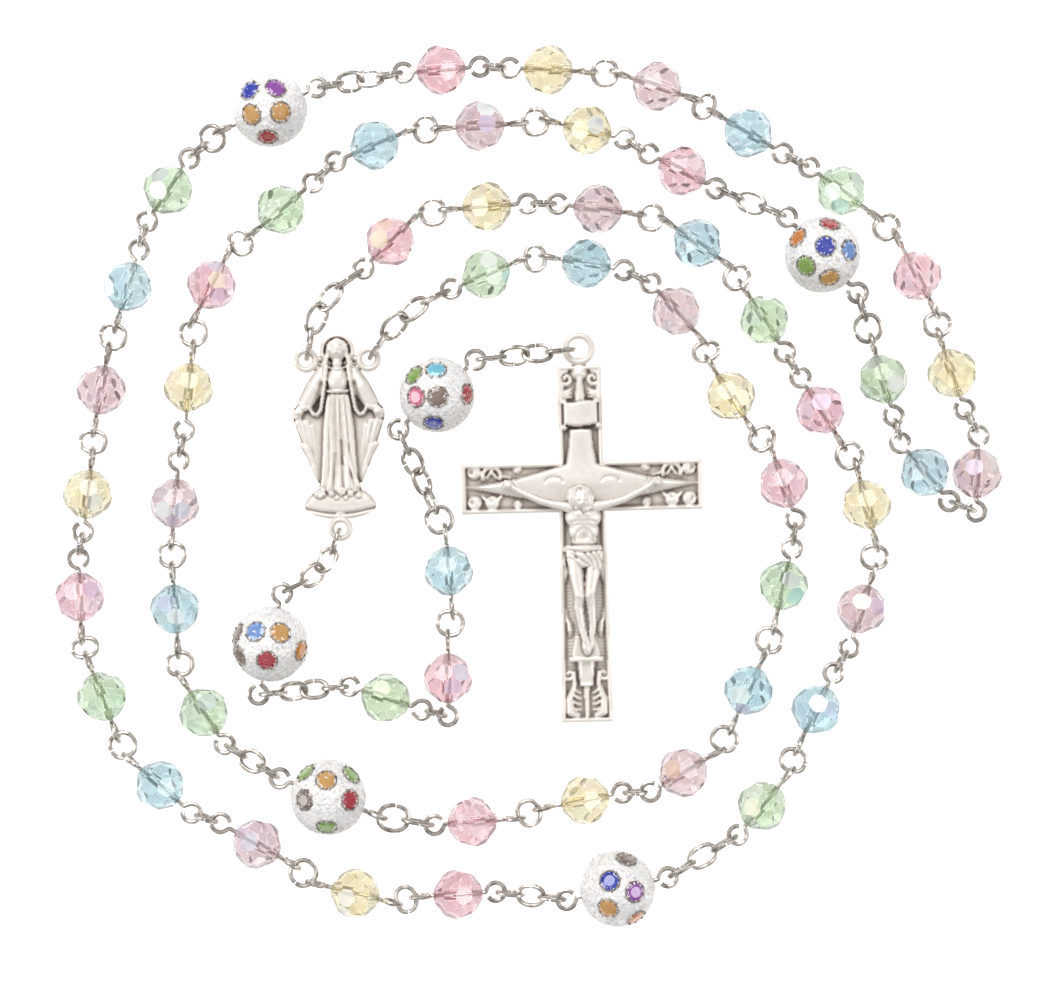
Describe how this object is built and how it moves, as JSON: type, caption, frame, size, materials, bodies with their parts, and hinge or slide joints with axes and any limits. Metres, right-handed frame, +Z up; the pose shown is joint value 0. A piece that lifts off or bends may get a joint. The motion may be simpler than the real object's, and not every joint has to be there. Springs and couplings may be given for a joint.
{
  "type": "rosary",
  "caption": "Rosary laid flat in a loose spiral: pastel crystal beads and jewelled glitter beads on wire, oval links, cast figure centrepiece and crucifix.",
  "frame": {"origin": "middle of the bottom of the laid-out rosary, on the surface that it lies on", "axes": "+Z up off the surface, +Y towards the top of the centrepiece and of the crucifix, +X to their right"},
  "size_m": [0.1244, 0.1154, 0.01],
  "materials": {
    "cast_silver": "antique silver plate, darker in the hollows",
    "crystal_blue": "faceted blue crystal",
    "crystal_green": "faceted green crystal",
    "crystal_lilac": "faceted lilac crystal",
    "crystal_pink": "faceted pink crystal",
    "crystal_yellow": "faceted yellow crystal",
    "glitter": "white pearl glitter set with coloured stones",
    "silver_wire": "bright silver-plated wire"
  },
  "bodies": {
    "centrepiece": {"centrepiece": "cast_silver"},
    "chain_01": {"chain_01": "silver_wire"},
    "bead_pair_01": {"bead_pair_01": "crystal_pink"},
    "bead_pair_02": {"bead_pair_02": "crystal_lilac"},
    "bead_pair_03": {"bead_pair_03": "crystal_green"},
    "bead_pair_04": {"bead_pair_04": "crystal_yellow"},
    "bead_pair_05": {"bead_pair_05": "crystal_blue"},
    "chain_02": {"chain_02": "silver_wire"},
    "large_1_pin": {"large_1_pin": "silver_wire"},
    "large_1_bead": {"large_1_bead": "glitter"},
    "chain_03": {"chain_03": "silver_wire"},
    "bead_pair_06": {"bead_pair_06": "crystal_pink"},
    "bead_pair_07": {"bead_pair_07": "crystal_lilac"},
    "bead_pair_08": {"bead_pair_08": "crystal_green"},
    "bead_pair_09": {"bead_pair_09": "crystal_yellow"},
    "bead_pair_10": {"bead_pair_10": "crystal_blue"},
    "chain_04": {"chain_04": "silver_wire"},
    "large_2_pin": {"large_2_pin": "silver_wire"},
    "large_2_bead": {"large_2_bead": "glitter"},
    "chain_05": {"chain_05": "silver_wire"},
    "bead_pair_11": {"bead_pair_11": "crystal_pink"},
    "bead_pair_12": {"bead_pair_12": "crystal_lilac"},
    "bead_pair_13": {"bead_pair_13": "crystal_green"},
    "bead_pair_14": {"bead_pair_14": "crystal_yellow"},
    "chain_10": {"chain_10": "silver_wire"},
    "bead_pair_25": {"bead_pair_25": "crystal_green"},
    "bead_pair_24": {"bead_pair_24": "crystal_lilac"},
    "bead_pair_23": {"bead_pair_23": "crystal_pink"},
    "bead_pair_22": {"bead_pair_22": "crystal_blue"},
    "bead_pair_21": {"bead_pair_21": "crystal_yellow"},
    "chain_09": {"chain_09": "silver_wire"},
    "large_4_pin": {"large_4_pin": "silver_wire"},
    "large_4_bead": {"large_4_bead": "glitter"},
    "chain_08": {"chain_08": "silver_wire"},
    "bead_pair_20": {"bead_pair_20": "crystal_green"},
    "bead_pair_19": {"bead_pair_19": "crystal_lilac"},
    "bead_pair_18": {"bead_pair_18": "crystal_pink"},
    "bead_pair_17": {"bead_pair_17": "crystal_blue"},
    "bead_pair_16": {"bead_pair_16": "crystal_yellow"},
    "chain_07": {"chain_07": "silver_wire"},
    "large_3_pin": {"large_3_pin": "silver_wire"},
    "large_3_bead": {"large_3_bead": "glitter"},
    "chain_06": {"chain_06": "silver_wire"},
    "bead_pair_15": {"bead_pair_15": "crystal_green"},
    "chain_11": {"chain_11": "silver_wire"},
    "large_5_pin": {"large_5_pin": "silver_wire"},
    "large_5_bead": {"large_5_bead": "glitter"},
    "chain_12": {"chain_12": "silver_wire"},
    "pendant_1_pin": {"pendant_1_pin": "silver_wire"},
    "pendant_1_bead": {"pendant_1_bead": "crystal_green"},
    "pendant_2_pin": {"pendant_2_pin": "silver_wire"},
    "pendant_2_bead": {"pendant_2_bead": "crystal_pink"},
    "pendant_3_pin": {"pendant_3_pin": "silver_wire"},
    "pendant_3_bead": {"pendant_3_bead": "crystal_blue"},
    "chain_13": {"chain_13": "silver_wire"},
    "large_6_pin": {"large_6_pin": "silver_wire"},
    "large_6_bead": {"large_6_bead": "glitter"},
    "chain_14": {"chain_14": "silver_wire"},
    "crucifix": {"crucifix_cross": "cast_silver", "crucifix_corpus": "cast_silver"}
  },
  "joints": [
    {"name": "fold_chain_01", "type": "hinge", "parent": "centrepiece", "child": "chain_01", "pos_m": [-0.02876, 0.01729, 0.00176], "axis": [0.8417, -0.5399, 0], "range_deg": [-30, 30]},
    {"name": "fold_bead_pair_01", "type": "hinge", "parent": "chain_01", "child": "bead_pair_01", "pos_m": [-0.02238, 0.02724, 0.00307], "axis": [-0.8417, 0.5399, 0], "range_deg": [-30, 30]},
    {"name": "fold_bead_pair_02", "type": "hinge", "parent": "bead_pair_01", "child": "bead_pair_02", "pos_m": [0.00259, 0.03676, 0.0032], "axis": [0.0098, 1, 0], "range_deg": [-30, 30]},
    {"name": "fold_bead_pair_03", "type": "hinge", "parent": "bead_pair_02", "child": "bead_pair_03", "pos_m": [0.02816, 0.02591, 0.0032], "axis": [-0.8324, -0.5542, 0], "range_deg": [-30, 30]},
    {"name": "fold_bead_pair_04", "type": "hinge", "parent": "bead_pair_03", "child": "bead_pair_04", "pos_m": [0.04304, 0.00227, 0.0032], "axis": [-0.8461, -0.533, 0], "range_deg": [-30, 30]},
    {"name": "fold_bead_pair_05", "type": "hinge", "parent": "bead_pair_04", "child": "bead_pair_05", "pos_m": [0.04073, -0.02392, 0.0032], "axis": [0.8514, -0.5245, 0], "range_deg": [-30, 30]},
    {"name": "fold_chain_02", "type": "hinge", "parent": "bead_pair_05", "child": "chain_02", "pos_m": [0.02647, -0.04684, 0.0034], "axis": [0.4963, -0.8682, 0], "range_deg": [-30, 30]},
    {"name": "fold_large_1_pin", "type": "hinge", "parent": "chain_02", "child": "large_1_pin", "pos_m": [0.01927, -0.05096, 0.0048], "axis": [-0.4963, 0.8682, 0], "range_deg": [-30, 30]},
    {"name": "spin_large_1_bead", "type": "hinge", "parent": "large_1_pin", "child": "large_1_bead", "pos_m": [0.0116, -0.05302, 0.005], "axis": [-0.9763, -0.2162, 0], "continuous": true},
    {"name": "fold_chain_03", "type": "hinge", "parent": "large_1_pin", "child": "chain_03", "pos_m": [0.00379, -0.05439, 0.00477], "axis": [0.0849, 0.9964, 0], "range_deg": [-30, 30]},
    {"name": "fold_bead_pair_06", "type": "hinge", "parent": "chain_03", "child": "bead_pair_06", "pos_m": [-0.00313, -0.0538, 0.00343], "axis": [-0.0849, -0.9964, 0], "range_deg": [-30, 30]},
    {"name": "fold_bead_pair_07", "type": "hinge", "parent": "bead_pair_06", "child": "bead_pair_07", "pos_m": [-0.03088, -0.05021, 0.0032], "axis": [-0.6399, -0.7684, 0], "range_deg": [-30, 30]},
    {"name": "fold_bead_pair_08", "type": "hinge", "parent": "bead_pair_07", "child": "bead_pair_08", "pos_m": [-0.05413, -0.03302, 0.0032], "axis": [0.8848, 0.4659, 0], "range_deg": [-30, 30]},
    {"name": "fold_bead_pair_09", "type": "hinge", "parent": "bead_pair_08", "child": "bead_pair_09", "pos_m": [-0.0588, -0.00756, 0.0032], "axis": [0.9858, -0.1682, 0], "range_deg": [-30, 30]},
    {"name": "fold_bead_pair_10", "type": "hinge", "parent": "bead_pair_09", "child": "bead_pair_10", "pos_m": [-0.05421, 0.02077, 0.0032], "axis": [-0.9573, 0.2891, 0], "range_deg": [-30, 30]},
    {"name": "fold_chain_04", "type": "hinge", "parent": "bead_pair_10", "child": "chain_04", "pos_m": [-0.0437, 0.04343, 0.00356], "axis": [-0.6096, 0.7927, 0], "range_deg": [-30, 30]},
    {"name": "fold_large_2_pin", "type": "hinge", "parent": "chain_04", "child": "large_2_pin", "pos_m": [-0.0403, 0.04605, 0.00492], "axis": [0.6096, -0.7927, 0], "range_deg": [-30, 30]},
    {"name": "spin_large_2_bead", "type": "hinge", "parent": "large_2_pin", "child": "large_2_bead", "pos_m": [-0.0339, 0.04898, 0.005], "axis": [0.9125, 0.4092, 0], "continuous": true},
    {"name": "fold_chain_05", "type": "hinge", "parent": "large_2_pin", "child": "chain_05", "pos_m": [-0.02653, 0.05199, 0.00481], "axis": [0.1947, -0.9809, 0], "range_deg": [-30, 30]},
    {"name": "fold_bead_pair_11", "type": "hinge", "parent": "chain_05", "child": "bead_pair_11", "pos_m": [-0.01764, 0.05376, 0.00339], "axis": [-0.1947, 0.9809, 0], "range_deg": [-30, 30]},
    {"name": "fold_bead_pair_12", "type": "hinge", "parent": "bead_pair_11", "child": "bead_pair_12", "pos_m": [0.01161, 0.05389, 0.0032], "axis": [0.0621, 0.9981, 0], "range_deg": [-30, 30]},
    {"name": "fold_bead_pair_13", "type": "hinge", "parent": "bead_pair_12", "child": "bead_pair_13", "pos_m": [0.03583, 0.04214, 0.0032], "axis": [-0.4649, -0.8854, 0], "range_deg": [-30, 30]},
    {"name": "fold_bead_pair_14", "type": "hinge", "parent": "bead_pair_13", "child": "bead_pair_14", "pos_m": [0.05403, 0.01946, 0.0032], "axis": [-0.9842, -0.1768, 0], "range_deg": [-30, 30]},
    {"name": "fold_chain_10", "type": "hinge", "parent": "centrepiece", "child": "chain_10", "pos_m": [-0.02018, 0.01721, 0.00176], "axis": [0.6421, -0.7666, 0], "range_deg": [-30, 30]},
    {"name": "fold_bead_pair_25", "type": "hinge", "parent": "chain_10", "child": "bead_pair_25", "pos_m": [-0.01113, 0.0248, 0.00307], "axis": [-0.6421, 0.7666, 0], "range_deg": [-30, 30]},
    {"name": "fold_bead_pair_24", "type": "hinge", "parent": "bead_pair_25", "child": "bead_pair_24", "pos_m": [0.01496, 0.02689, 0.0032], "axis": [0.4228, 0.9062, 0], "range_deg": [-30, 30]},
    {"name": "fold_bead_pair_23", "type": "hinge", "parent": "bead_pair_24", "child": "bead_pair_23", "pos_m": [0.0317, 0.00489, 0.0032], "axis": [-0.7011, -0.7131, 0], "range_deg": [-30, 30]},
    {"name": "fold_bead_pair_22", "type": "hinge", "parent": "bead_pair_23", "child": "bead_pair_22", "pos_m": [0.03118, -0.02211, 0.0032], "axis": [-0.9508, 0.3097, 0], "range_deg": [-30, 30]},
    {"name": "fold_bead_pair_21", "type": "hinge", "parent": "bead_pair_22", "child": "bead_pair_21", "pos_m": [0.01351, -0.04063, 0.0032], "axis": [0.0293, -0.9996, 0], "range_deg": [-30, 30]},
    {"name": "fold_chain_09", "type": "hinge", "parent": "bead_pair_21", "child": "chain_09", "pos_m": [-0.01353, -0.0447, 0.00348], "axis": [-0.1962, -0.9806, 0], "range_deg": [-30, 30]},
    {"name": "fold_large_4_pin", "type": "hinge", "parent": "chain_09", "child": "large_4_pin", "pos_m": [-0.01959, -0.04349, 0.00494], "axis": [0.1962, 0.9806, 0], "range_deg": [-30, 30]},
    {"name": "spin_large_4_bead", "type": "hinge", "parent": "large_4_pin", "child": "large_4_bead", "pos_m": [-0.0262, -0.04102, 0.005], "axis": [-0.9347, 0.3553, 0], "continuous": true},
    {"name": "fold_chain_08", "type": "hinge", "parent": "large_4_pin", "child": "chain_08", "pos_m": [-0.03357, -0.03801, 0.00475], "axis": [0.5038, 0.8638, 0], "range_deg": [-30, 30]},
    {"name": "fold_bead_pair_20", "type": "hinge", "parent": "chain_08", "child": "bead_pair_20", "pos_m": [-0.03893, -0.03488, 0.00345], "axis": [-0.5038, -0.8638, 0], "range_deg": [-30, 30]},
    {"name": "fold_bead_pair_19", "type": "hinge", "parent": "bead_pair_20", "child": "bead_pair_19", "pos_m": [-0.04691, -0.00786, 0.0032], "axis": [-0.9999, -0.0131, 0], "range_deg": [-30, 30]},
    {"name": "fold_bead_pair_18", "type": "hinge", "parent": "bead_pair_19", "child": "bead_pair_18", "pos_m": [-0.04403, 0.02136, 0.0032], "axis": [0.9994, -0.0346, 0], "range_deg": [-30, 30]},
    {"name": "fold_bead_pair_17", "type": "hinge", "parent": "bead_pair_18", "child": "bead_pair_17", "pos_m": [-0.02629, 0.0415, 0.0032], "axis": [0.6857, -0.7279, 0], "range_deg": [-30, 30]},
    {"name": "fold_bead_pair_16", "type": "hinge", "parent": "bead_pair_17", "child": "bead_pair_16", "pos_m": [0.00245, 0.04763, 0.0032], "axis": [-0.0868, 0.9962, 0], "range_deg": [-30, 30]},
    {"name": "fold_chain_07", "type": "hinge", "parent": "bead_pair_16", "child": "chain_07", "pos_m": [0.02573, 0.03832, 0.00341], "axis": [0.3947, 0.9188, 0], "range_deg": [-30, 30]},
    {"name": "fold_large_3_pin", "type": "hinge", "parent": "chain_07", "child": "large_3_pin", "pos_m": [0.03269, 0.03533, 0.00479], "axis": [-0.3947, -0.9188, 0], "range_deg": [-30, 30]},
    {"name": "spin_large_3_bead", "type": "hinge", "parent": "large_3_pin", "child": "large_3_bead", "pos_m": [0.0384, 0.02988, 0.005], "axis": [0.6811, -0.7322, 0], "continuous": true},
    {"name": "fold_chain_06", "type": "hinge", "parent": "large_3_pin", "child": "chain_06", "pos_m": [0.04341, 0.0238, 0.00469], "axis": [-0.9474, -0.3199, 0], "range_deg": [-30, 30]},
    {"name": "fold_bead_pair_15", "type": "hinge", "parent": "chain_06", "child": "bead_pair_15", "pos_m": [0.04512, 0.01872, 0.00327], "axis": [0.9474, 0.3199, 0], "range_deg": [-30, 30]},
    {"name": "fold_chain_11", "type": "hinge", "parent": "centrepiece", "child": "chain_11", "pos_m": [-0.02561, -0.00691, 0.00198], "axis": [-0.7472, 0.6646, 0], "range_deg": [-30, 30]},
    {"name": "fold_large_5_pin", "type": "hinge", "parent": "chain_11", "child": "large_5_pin", "pos_m": [-0.0315, -0.01354, 0.00465], "axis": [0.7472, -0.6646, 0], "range_deg": [-30, 30]},
    {"name": "spin_large_5_bead", "type": "hinge", "parent": "large_5_pin", "child": "large_5_bead", "pos_m": [-0.0338, -0.02102, 0.005], "axis": [-0.225, -0.9744, 0], "continuous": true},
    {"name": "fold_chain_12", "type": "hinge", "parent": "large_5_pin", "child": "chain_12", "pos_m": [-0.03414, -0.02755, 0.00482], "axis": [-0.0822, 0.9966, 0], "range_deg": [-30, 30]},
    {"name": "fold_pendant_1_pin", "type": "hinge", "parent": "chain_12", "child": "pendant_1_pin", "pos_m": [-0.02473, -0.02677, 0.00338], "axis": [0.0822, -0.9966, 0], "range_deg": [-30, 30]},
    {"name": "spin_pendant_1_bead", "type": "hinge", "parent": "pendant_1_pin", "child": "pendant_1_bead", "pos_m": [-0.0188, -0.02822, 0.0032], "axis": [0.9511, -0.309, 0], "continuous": true},
    {"name": "fold_pendant_2_pin", "type": "hinge", "parent": "pendant_1_pin", "child": "pendant_2_pin", "pos_m": [-0.01176, -0.03033, 0.0032], "axis": [-0.2409, -0.9706, 0], "range_deg": [-30, 30]},
    {"name": "spin_pendant_2_bead", "type": "hinge", "parent": "pendant_2_pin", "child": "pendant_2_bead", "pos_m": [-0.0106, -0.02562, 0.0032], "axis": [0, 1, 0], "continuous": true},
    {"name": "fold_pendant_3_pin", "type": "hinge", "parent": "pendant_2_pin", "child": "pendant_3_pin", "pos_m": [-0.01009, -0.01686, 0.0032], "axis": [-0.9905, 0.1377, 0], "range_deg": [-30, 30]},
    {"name": "spin_pendant_3_bead", "type": "hinge", "parent": "pendant_3_pin", "child": "pendant_3_bead", "pos_m": [-0.0105, -0.01152, 0.0032], "axis": [-0.0872, 0.9962, 0], "continuous": true},
    {"name": "fold_chain_13", "type": "hinge", "parent": "pendant_3_pin", "child": "chain_13", "pos_m": [-0.01104, -0.0063, 0.00323], "axis": [-0.9116, -0.411, 0], "range_deg": [-30, 30]},
    {"name": "fold_large_6_pin", "type": "hinge", "parent": "chain_13", "child": "large_6_pin", "pos_m": [-0.01656, 0.00594, 0.00486], "axis": [0.9116, 0.411, 0], "range_deg": [-30, 30]},
    {"name": "spin_large_6_bead", "type": "hinge", "parent": "large_6_pin", "child": "large_6_bead", "pos_m": [-0.012, 0.01158, 0.005], "axis": [0.7431, 0.6691, 0], "continuous": true},
    {"name": "fold_chain_14", "type": "hinge", "parent": "large_6_pin", "child": "chain_14", "pos_m": [-0.00579, 0.01627, 0.00471], "axis": [0.1209, -0.9927, 0], "range_deg": [-20, 30]},
    {"name": "fold_crucifix", "type": "hinge", "parent": "chain_14", "child": "crucifix", "pos_m": [0.00492, 0.01758, 0.00204], "axis": [-0.1209, 0.9927, 0], "range_deg": [-30, 30]}
  ]
}
